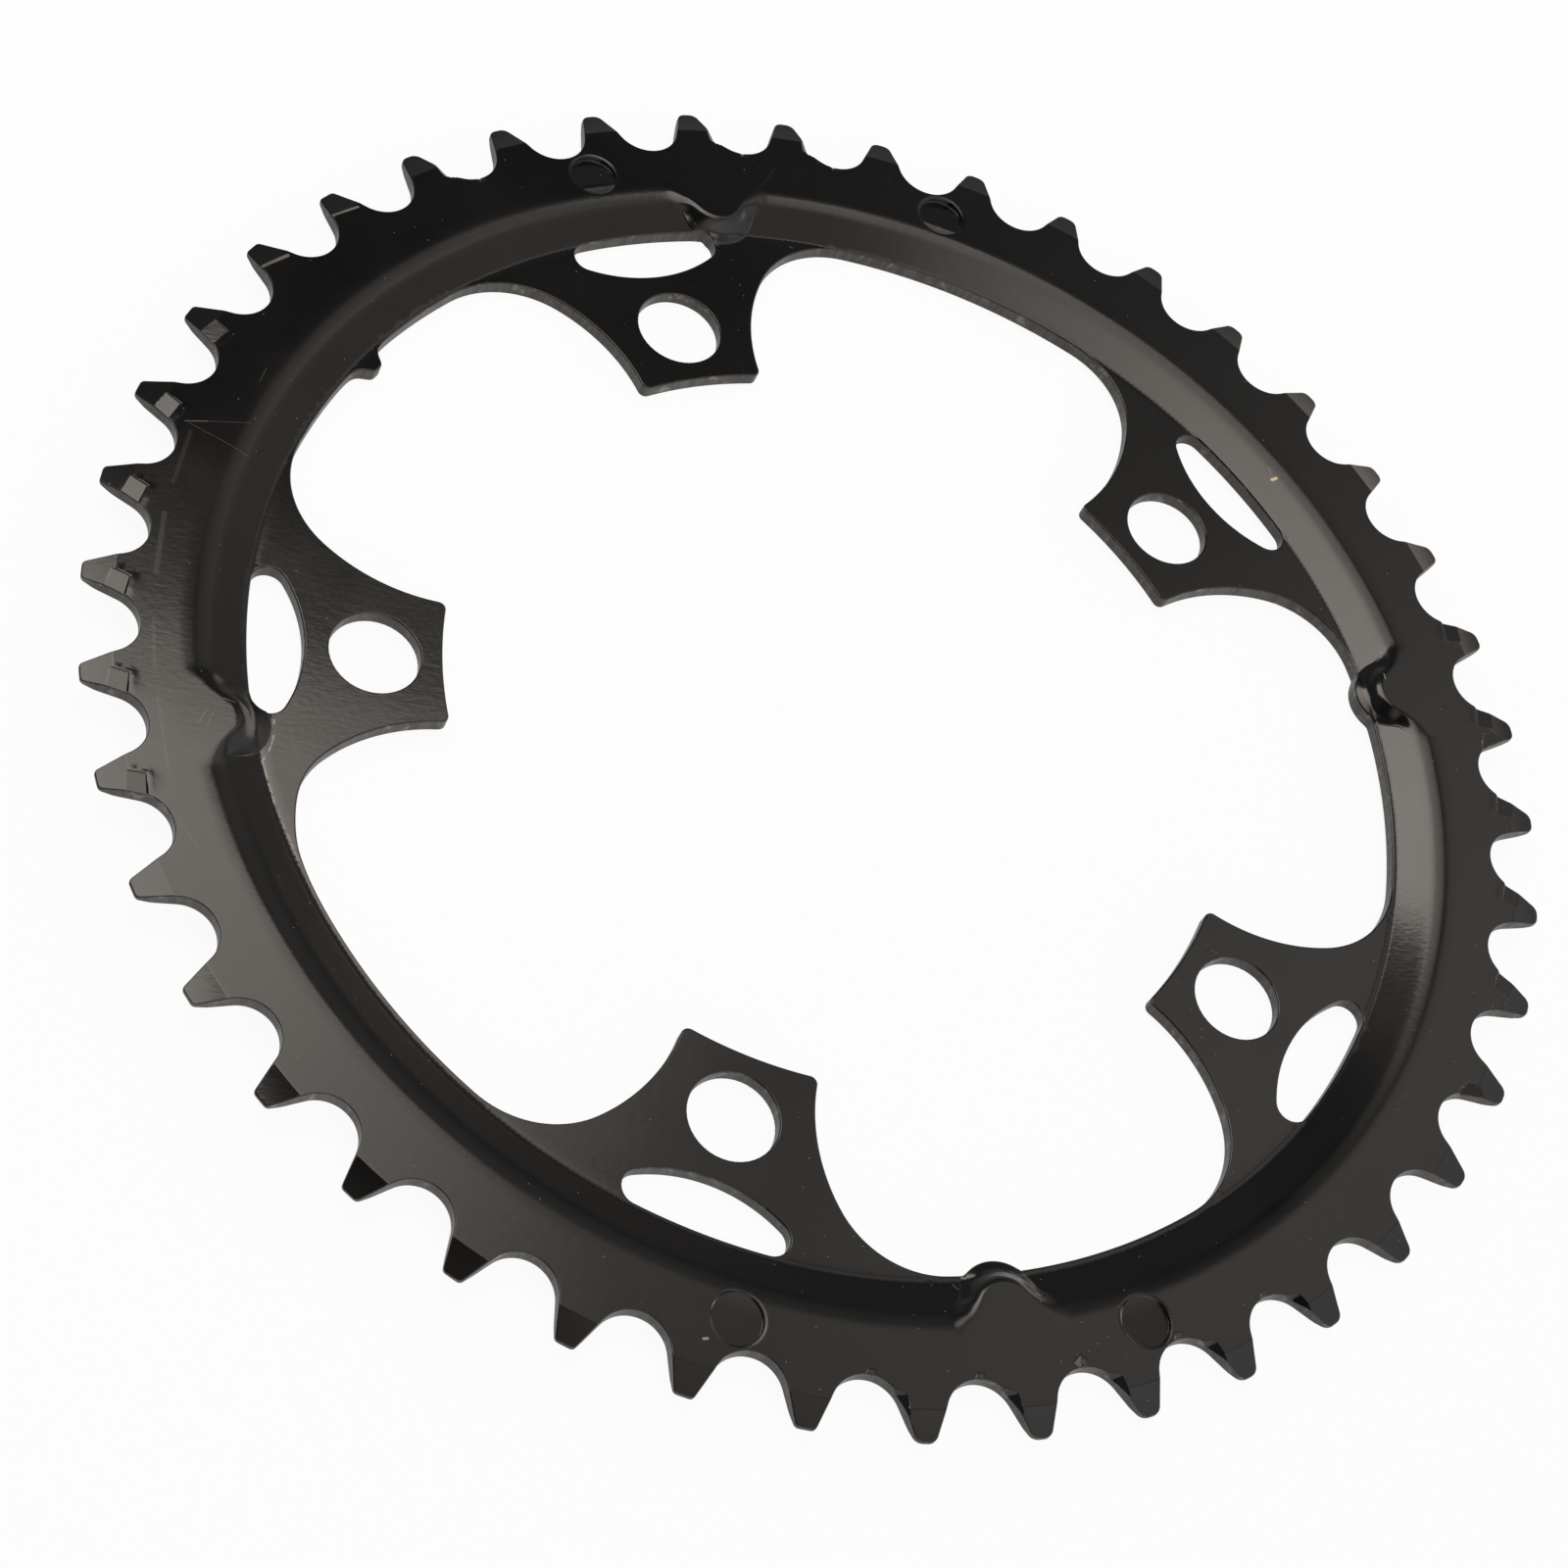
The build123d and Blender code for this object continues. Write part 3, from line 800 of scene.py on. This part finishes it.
def add_piece(name, points, triangles, normals, shares, material):
    """A smooth mesh object at the origin from arrays of points, triangles and normals, with named shares
    stored on its points."""
    mesh = bpy.data.meshes.new(name)
    mesh.vertices.add(len(points))
    mesh.vertices.foreach_set("co", points.astype(np.float32).ravel())
    mesh.loops.add(triangles.size)
    mesh.loops.foreach_set("vertex_index", triangles.astype(np.int32).ravel())
    mesh.polygons.add(len(triangles))
    mesh.polygons.foreach_set("loop_start", np.arange(0, triangles.size, 3, dtype=np.int32))
    mesh.update(calc_edges=True)
    mesh.validate()
    mesh.shade_smooth()
    for share, values in shares.items():
        mesh.attributes.new(share, "FLOAT", "POINT").data.foreach_set("value", values.astype(np.float32))
    mesh.normals_split_custom_set_from_vertices(normals)
    mesh.materials.append(material)
    piece = bpy.data.objects.new(name, mesh)
    bpy.context.scene.collection.objects.link(piece)
    return piece


def join(tree, socket, value):
    """Gives a socket a number, a colour or another node's output."""
    if isinstance(value, bpy.types.NodeSocket):
        tree.links.new(value, socket)
    else:
        socket.default_value = value


def maths(tree, kind, *values):
    """A Math node on outputs or numbers."""
    node = tree.nodes.new("ShaderNodeMath")
    node.operation = kind
    for socket, value in zip(node.inputs, values):
        join(tree, socket, value)
    return node.outputs[0]


def times(tree, first, second):
    """One value times another."""
    return maths(tree, "MULTIPLY", first, second)


def most(tree, first, second):
    """The larger of two values."""
    return maths(tree, "MAXIMUM", first, second)


def vectors(tree, kind, *values):
    """A Vector Math node on outputs or triples."""
    node = tree.nodes.new("ShaderNodeVectorMath")
    node.operation = kind
    for socket, value in zip([k for k in node.inputs if k.enabled], values):
        join(tree, socket, value)
    return node.outputs["Value" if kind in ("DOT_PRODUCT", "LENGTH", "DISTANCE") else "Vector"]


def rise(tree, value, low, high, bottom=0.0, top=1.0):
    """A smooth step from bottom to top as a value goes from low to high."""
    node = tree.nodes.new("ShaderNodeMapRange")
    node.interpolation_type = "SMOOTHSTEP"
    for socket, number in zip(node.inputs, (value, low, high, bottom, top)):
        join(tree, socket, number)
    return node.outputs[0]


def blend(tree, share, first, second):
    """A mix of two colours."""
    node = tree.nodes.new("ShaderNodeMix")
    node.data_type = "RGBA"
    for socket, value in zip((node.inputs[0], node.inputs[6], node.inputs[7]), (share, first, second)):
        join(tree, socket, value)
    return node.outputs[2]


def between(tree, share, first, second):
    """A mix of two numbers."""
    node = tree.nodes.new("ShaderNodeMix")
    for socket, value in zip((node.inputs[0], node.inputs[2], node.inputs[3]), (share, first, second)):
        join(tree, socket, value)
    return node.outputs[0]


def noise(tree, place, pattern):
    """A cloudy value about a half, with so many lumps a metre and layers of detail."""
    node = tree.nodes.new("ShaderNodeTexNoise")
    join(tree, node.inputs["Vector"], place)
    node.inputs["Scale"].default_value, node.inputs["Detail"].default_value = pattern
    return node.outputs["Fac"]


def share_of(tree, name):
    """A value stored on the mesh."""
    node = tree.nodes.new("ShaderNodeAttribute")
    node.attribute_name = name
    return node.outputs["Fac"]


def along_mark(tree, plan, start, end, half):
    """One along a straight mark in the plan and nought past its half width: the point's share along the mark
    gives the nearest point on it, and the distance to that is compared with the width."""
    origin, run = np.array(start + (0,)), np.array(end + (0,)) - np.array(start + (0,))
    from_start = vectors(tree, "SUBTRACT", plan, tuple(origin * MM))
    share = tree.nodes.new("ShaderNodeClamp")
    join(tree, share.inputs[0], vectors(tree, "DOT_PRODUCT", from_start, tuple(run / (run @ run) / MM)))
    nearest = vectors(tree, "SCALE", tuple(run * MM), share.outputs[0])
    return rise(tree, vectors(tree, "DISTANCE", from_start, nearest), half * MM, MARK_CORE * half * MM)


def all_marks(tree, plan, marks):
    """The strongest of several marks, each a start, an end, a half width and a strength."""
    strongest = 0.0
    for start, end, half, strength in marks:
        strongest = most(tree, strongest, times(tree, along_mark(tree, plan, start, end, half), strength))
    return strongest


def black_coat():
    """Semi-gloss black coating over rolled steel: slightly wavy, with fine orange peel, the sheet's grain,
    smudges, dust specks, scratches and worn edges down to grey metal, and one yellow chip; the same pale
    metal is painted as highlights along the foot's fold, at the bevel's start on two teeth and, mixed with
    wear, along the rolled edges; the punched walls are dark brown, rough and streaked."""
    material = bpy.data.materials.new("black_coat")
    material.use_nodes = True
    tree = material.node_tree
    shader = tree.nodes["Principled BSDF"]
    place = tree.nodes.new("ShaderNodeTexCoord").outputs["Object"]
    plan = vectors(tree, "MULTIPLY", place, (1, 1, 0))
    front_share, cut_share = share_of(tree, "front"), share_of(tree, "cut")

    # where each finish lies
    wall = rise(tree, cut_share, 0.35, 0.85)
    corner = rise(tree, cut_share, 0.05, 0.4)
    # pale steel broken along the rolled edges and walls: partly worn metal, partly painted highlight lines
    worn_and_highlit_edge = times(tree, corner, rise(tree, noise(tree, place, BROKEN_EDGE), 0.58, 0.72))
    specks = tree.nodes.new("ShaderNodeTexVoronoi")
    join(tree, specks.inputs["Vector"], place)
    specks.inputs["Scale"].default_value = DUST_SPECKS
    dust = times(tree, rise(tree, specks.outputs["Distance"], 0.05, 0.025), front_share)
    # painted highlight along the foot's raised fold, in pale steel broken up by noise
    broken = rise(tree, noise(tree, place, BROKEN_FOOT_LINE), 0.4, 0.6)
    foot_highlight = times(tree, all_marks(tree, plan, FOOT_FOLD_HIGHLIGHT), broken)
    # real scratches and chain rubs, together with painted highlights at the bevel's start, the foot and the
    # edges
    scratches_and_highlights = most(tree, all_marks(tree, plan, SCRATCHES + BEVEL_START_HIGHLIGHT + CHAIN_RUBS), foot_highlight)
    scratches_and_highlights = most(tree, times(tree, scratches_and_highlights, front_share), times(tree, worn_and_highlit_edge, EDGE_WEAR_AND_HIGHLIGHT))
    chip = times(tree, all_marks(tree, plan, BARE_CHIP), front_share)
    streak = noise(tree, vectors(tree, "MULTIPLY", place, STREAKS_DRAWN), CUT_STREAKS)
    smudge = noise(tree, place, SMUDGES)

    cut = blend(tree, rise(tree, streak, 0.3, 0.75), CUT_DARK, CUT_PALE)
    colour = blend(tree, wall, blend(tree, smudge, COAT_DARK, COAT_PALE), cut)
    colour = blend(tree, times(tree, dust, DUST_COVER), colour, DUST_GREY)
    colour = blend(tree, scratches_and_highlights, colour, BARE_STEEL_AND_HIGHLIGHT)
    join(tree, shader.inputs["Base Color"], blend(tree, chip, colour, CHIP_YELLOW))

    rough = rise(tree, smudge, 0.25, 0.75, *COAT_ROUGH)
    for share, value in ((wall, CUT_ROUGH), (dust, DUST_ROUGH),
                         (scratches_and_highlights, STEEL_ROUGH), (chip, CHIP_ROUGH)):
        rough = between(tree, share, rough, value)
    join(tree, shader.inputs["Roughness"], rough)

    # the grain's place is drawn back along the sheet, so that its lumps grow long that way
    drawn_back = times(tree, vectors(tree, "DOT_PRODUCT", place, ROLLED_ALONG), -GRAIN_DRAWN)
    grain_place = vectors(tree, "ADD", place, vectors(tree, "SCALE", ROLLED_ALONG, drawn_back))
    height = 0.0
    for value, amount in ((noise(tree, place, WAVES), WAVES_HEIGHT),
                          (noise(tree, place, PEEL), PEEL_HEIGHT),
                          (noise(tree, grain_place, ROLLED_GRAIN), GRAIN_HEIGHT),
                          (times(tree, streak, wall), STREAKS_HEIGHT)):
        height = maths(tree, "MULTIPLY_ADD", value, amount, height)
    bump = tree.nodes.new("ShaderNodeBump")
    bump.inputs["Distance"].default_value = 1.0
    join(tree, bump.inputs["Height"], height)
    join(tree, shader.inputs["Normal"], bump.outputs[0])
    return material


def white_floor():
    """A plain white floor that shows a faint shadow: mostly white where the camera or a reflection sees it,
    and lit for the rest."""
    material = bpy.data.materials.new("white_floor")
    material.use_nodes = True
    tree = material.node_tree
    tree.nodes.clear()
    lit = tree.nodes.new("ShaderNodeBsdfDiffuse")
    lit.inputs["Color"].default_value = FLOOR_GREY
    white = tree.nodes.new("ShaderNodeEmission")
    path = tree.nodes.new("ShaderNodeLightPath").outputs
    seen = most(tree, most(tree, path["Is Camera Ray"], path["Is Glossy Ray"]), path["Is Transmission Ray"])
    mix = tree.nodes.new("ShaderNodeMixShader")
    join(tree, mix.inputs[0], times(tree, seen, FLOOR_WHITE))
    join(tree, mix.inputs[1], lit.outputs[0])
    join(tree, mix.inputs[2], white.outputs[0])
    join(tree, tree.nodes.new("ShaderNodeOutputMaterial").inputs[0], mix.outputs[0])
    return material


def table_floor(height):
    """A flat square floor at a height."""
    mesh = bpy.data.meshes.new("floor")
    corners = [(x * FLOOR_HALF, y * FLOOR_HALF, height) for x, y in ((-1, -1), (1, -1), (1, 1), (-1, 1))]
    mesh.from_pydata(corners, [], [(0, 1, 2, 3)])
    mesh.materials.append(white_floor())
    floor = bpy.data.objects.new("floor", mesh)
    bpy.context.scene.collection.objects.link(floor)
    return floor


def softbox(name, centre, size, turned, colour, level, change, bow):
    """A flat softbox facing straight down. Over it the brightness is a level, a change from side to side and
    a bow with the square of the distance from its middle, the last two along each of its two sides."""
    lamp = bpy.data.lights.new(name, "AREA")
    lamp.shape = "RECTANGLE"
    lamp.size, lamp.size_y = size
    lamp.energy = float(np.pi * size[0] * size[1])
    lamp.color = colour
    lamp.use_nodes = True
    tree = lamp.node_tree
    place = tree.nodes.new("ShaderNodeNewGeometry").outputs["Parametric"]
    place = vectors(tree, "MULTIPLY_ADD", place, (2, 2, 0), (-1, -1, 0))
    tilt = vectors(tree, "DOT_PRODUCT", place, change + (0,))
    bowed = vectors(tree, "DOT_PRODUCT", vectors(tree, "MULTIPLY", place, place), bow + (0,))
    strength = maths(tree, "ADD", maths(tree, "ADD", tilt, bowed), level)
    join(tree, tree.nodes["Emission"].inputs["Strength"], strength)
    box = bpy.data.objects.new(name, lamp)
    box.location = centre
    box.rotation_euler = (0, 0, np.radians(turned))
    bpy.context.scene.collection.objects.link(box)


def studio_room():
    """The room round the table, as light over its directions: dx from the camera, dy to its left, dz up.
    A horizon beyond the ring is brown along its upper edge, pale below and reddish at its lowest. To it are
    added walls, an even dim light and a round fill beyond the ring, each an amount times a colour."""
    world = bpy.data.worlds.new("studio_room")
    world.use_nodes = True
    tree = world.node_tree
    split = tree.nodes.new("ShaderNodeSeparateXYZ")
    look = tree.nodes.new("ShaderNodeTexCoord").outputs["Generated"]
    join(tree, split.inputs[0], look)
    dx, dy, dz = split.outputs

    low = rise(tree, dz, 0.44, 0.29)
    horizon = times(tree, low, rise(tree, dy, 0.056, -0.144, 0.16, 1.2))
    horizon = times(tree, horizon, rise(tree, dx, -0.2, 0.3))
    tint = blend(tree, low, (1.35, 0.98, 0.72, 1), (1.1, 1.0, 0.9, 1))
    tint = blend(tree, rise(tree, dz, 0.16, 0.06), tint, (1.22, 0.93, 0.84, 1))
    light = vectors(tree, "SCALE", tint, horizon)

    nearer = maths(tree, "MULTIPLY_ADD", dx, -1.4, 1.5)
    near_wall = times(tree, rise(tree, dy, -0.236, 0.02, 0.38, 0.0), nearer)
    far_wall = rise(tree, dx, 0.66, 0.72, 0.0, 0.08)
    right_wall = rise(tree, dy, -0.29, -0.48, 0.0, 0.45)
    left_wall = rise(tree, dy, 0.2, 0.5, 0.0, 0.116)
    fill_at, fill_half = np.array([0.58, -0.11, 0]), np.array([0.2, 0.15, np.inf])
    aside = vectors(tree, "MULTIPLY_ADD", look, tuple(1 / fill_half), tuple(-fill_at / fill_half))
    fill = maths(tree, "EXPONENT", times(tree, vectors(tree, "DOT_PRODUCT", aside, aside), -1.0))
    for colour, amount in (((1.13, 1.0, 0.88), near_wall),
                           ((1.0, 1.0, 1.0), far_wall),
                           ((0.98, 1.0, 1.02), 0.07),
                           ((1.06, 1.0, 0.94), times(tree, fill, 0.76)),
                           ((0.92, 1.0, 1.08), right_wall),
                           ((1.0, 1.0, 1.0), left_wall)):
        light = vectors(tree, "ADD", light, vectors(tree, "SCALE", colour, amount))
    join(tree, tree.nodes["Background"].inputs["Color"], light)
    world.cycles.sampling_method = "NONE"
    return world


def photo_view():
    """A camera at the photograph's place, turn and angle of view."""
    lens = bpy.data.cameras.new("photo_view")
    lens.sensor_width = CAMERA_SENSOR
    lens.lens = CAMERA_LENS
    lens.clip_start = 0.01
    camera = bpy.data.objects.new("photo_view", lens)
    camera.location = CAMERA_AT
    camera.rotation_euler = tuple(np.radians(CAMERA_TURN))
    bpy.context.scene.collection.objects.link(camera)
    return camera


points, triangles, normals, shares = ring_mesh()
ring = add_piece("ring", points, triangles, normals, shares, black_coat())
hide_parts("chainring")
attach(ring, "root")

floor = table_floor(float(points[:, 2].min()) - FLOOR_GAP)

softbox("softbox", centre=(0.254, 0.415, 1.0), size=(0.61, 0.98), turned=19.7, colour=(1.09, 1.0, 0.91),
        level=4.25, change=(0.5, 0.25), bow=(0.35, -3.6))
scene = bpy.context.scene
scene.view_settings.view_transform = "Standard"
scene.world = studio_room()
scene.camera = photo_view()
